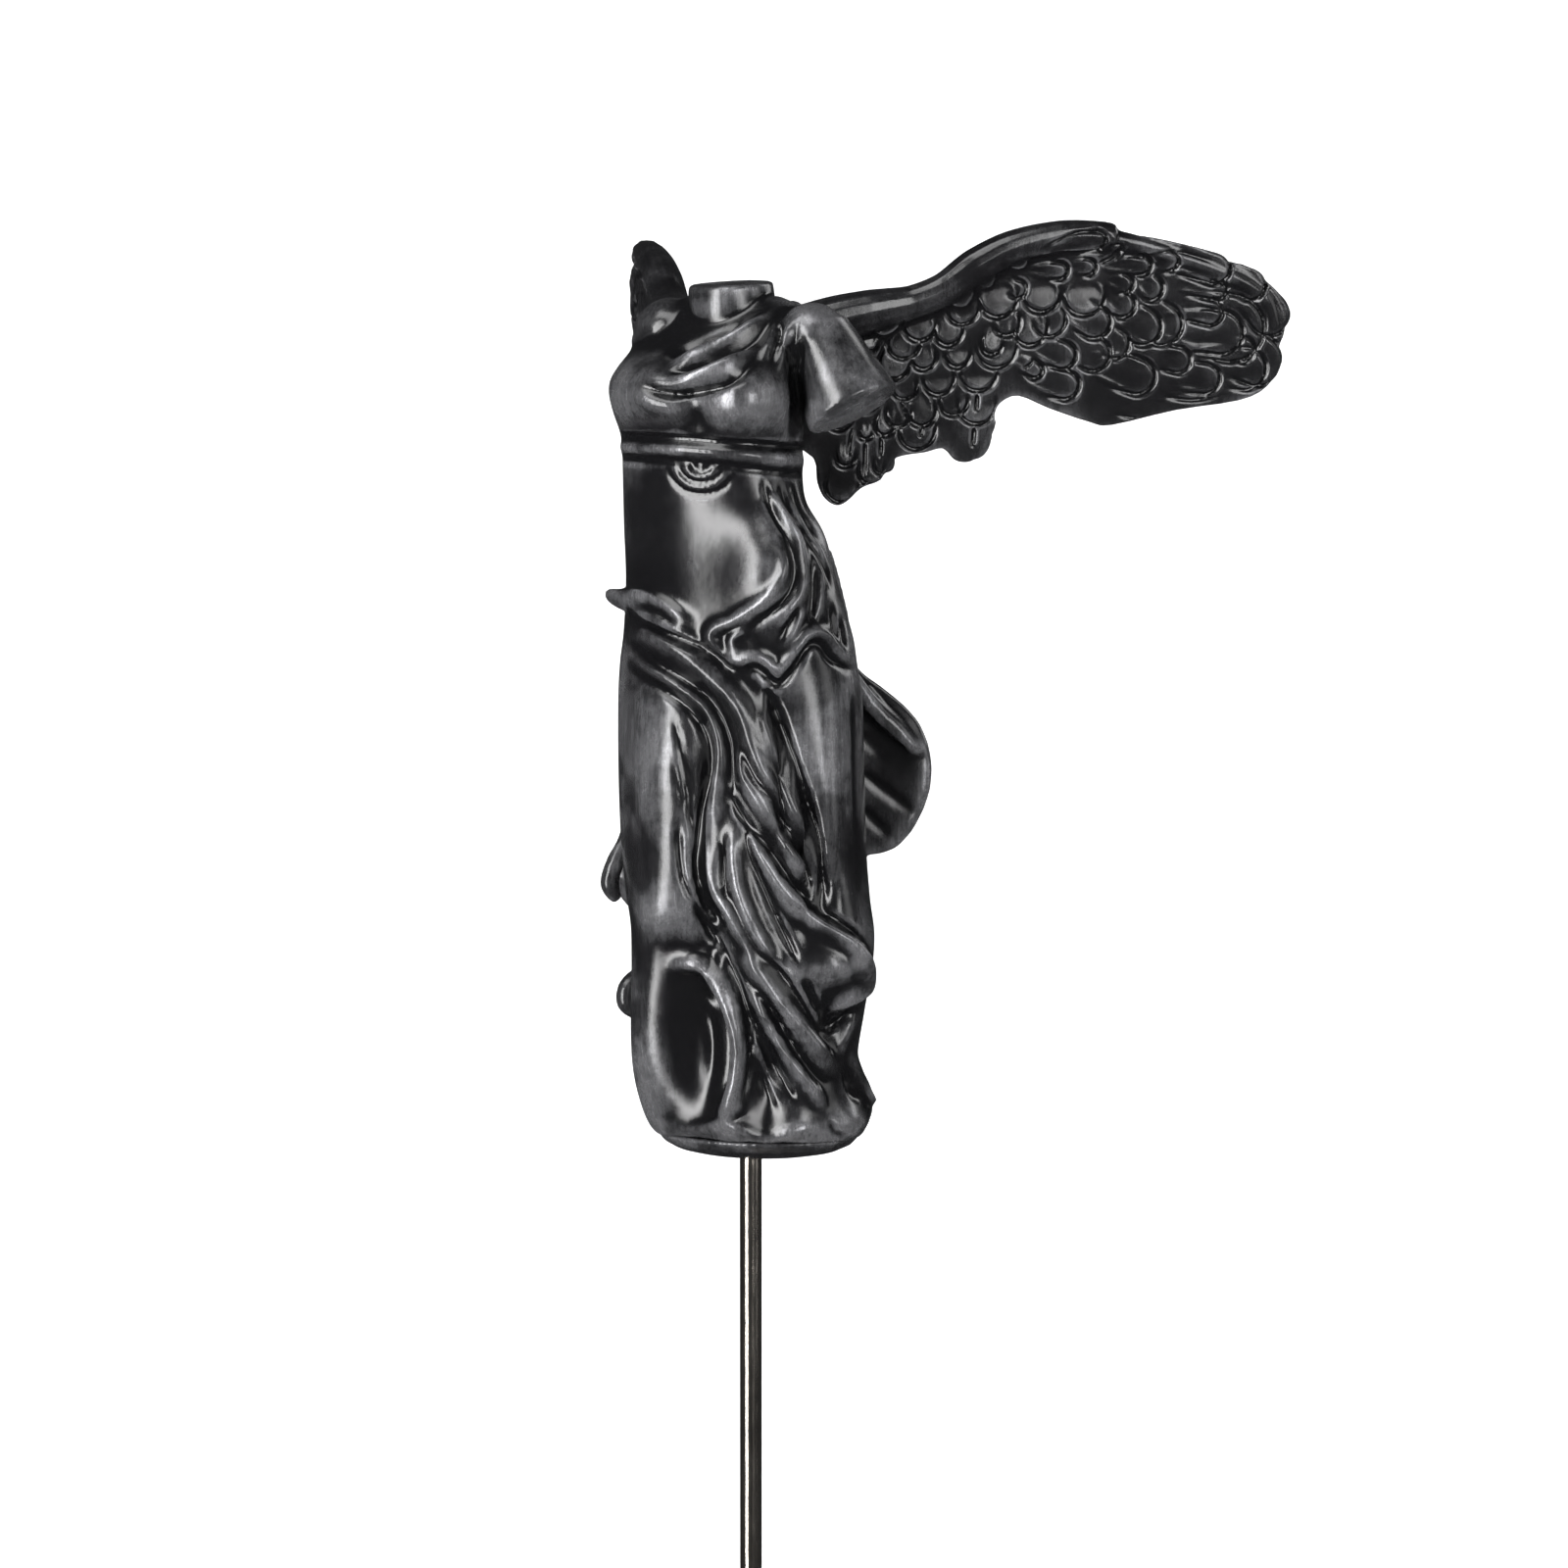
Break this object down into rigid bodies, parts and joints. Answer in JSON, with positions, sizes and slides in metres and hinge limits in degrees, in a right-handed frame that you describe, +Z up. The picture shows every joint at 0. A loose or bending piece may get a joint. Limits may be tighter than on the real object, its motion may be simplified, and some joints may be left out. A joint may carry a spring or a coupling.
{
  "type": "figure trophy",
  "caption": "Trophy with a headless winged draped figure in gloss black lacquer, held by its hem on a slender polished rod above a round weighted base.",
  "frame": {"origin": "centre of the felt's underside, where the rod's axis meets the table", "axes": "+Z up along the rod, -Y towards the viewer of the display front, +X towards the tip of the left wing"},
  "size_m": [0.1996, 0.197, 0.4197],
  "materials": {
    "figure_lacquer": "high-gloss black lacquer, rubbed grey on the raised folds",
    "plate_lacquer": "gloss black lacquer",
    "wing_lacquer": "high-gloss black lacquer, rubbed grey on the feather rims",
    "cloak_lacquer": "high-gloss black lacquer, rubbed grey on the raised folds",
    "dowel_steel": "plain",
    "socket_steel": "turned",
    "rod_nickel": "polished warm nickel",
    "base_nickel": "satin warm nickel, turned",
    "nut_steel": "zinc plated",
    "felt": "black felt"
  },
  "bodies": {
    "root": {"figure_body": "figure_lacquer", "closing_plate": "plate_lacquer", "left_wing": "wing_lacquer", "right_wing": "wing_lacquer", "rear_cloak": "cloak_lacquer", "left_wing_dowels": "dowel_steel", "right_wing_dowels": "dowel_steel", "cloak_dowels": "dowel_steel", "socket_flange": "socket_steel", "flange_screws": "socket_steel", "rod": "rod_nickel", "base": "base_nickel", "base_washer": "nut_steel", "spring_washer": "nut_steel", "base_nut": "nut_steel", "felt_pad": "felt"}
  },
  "joints": []
}
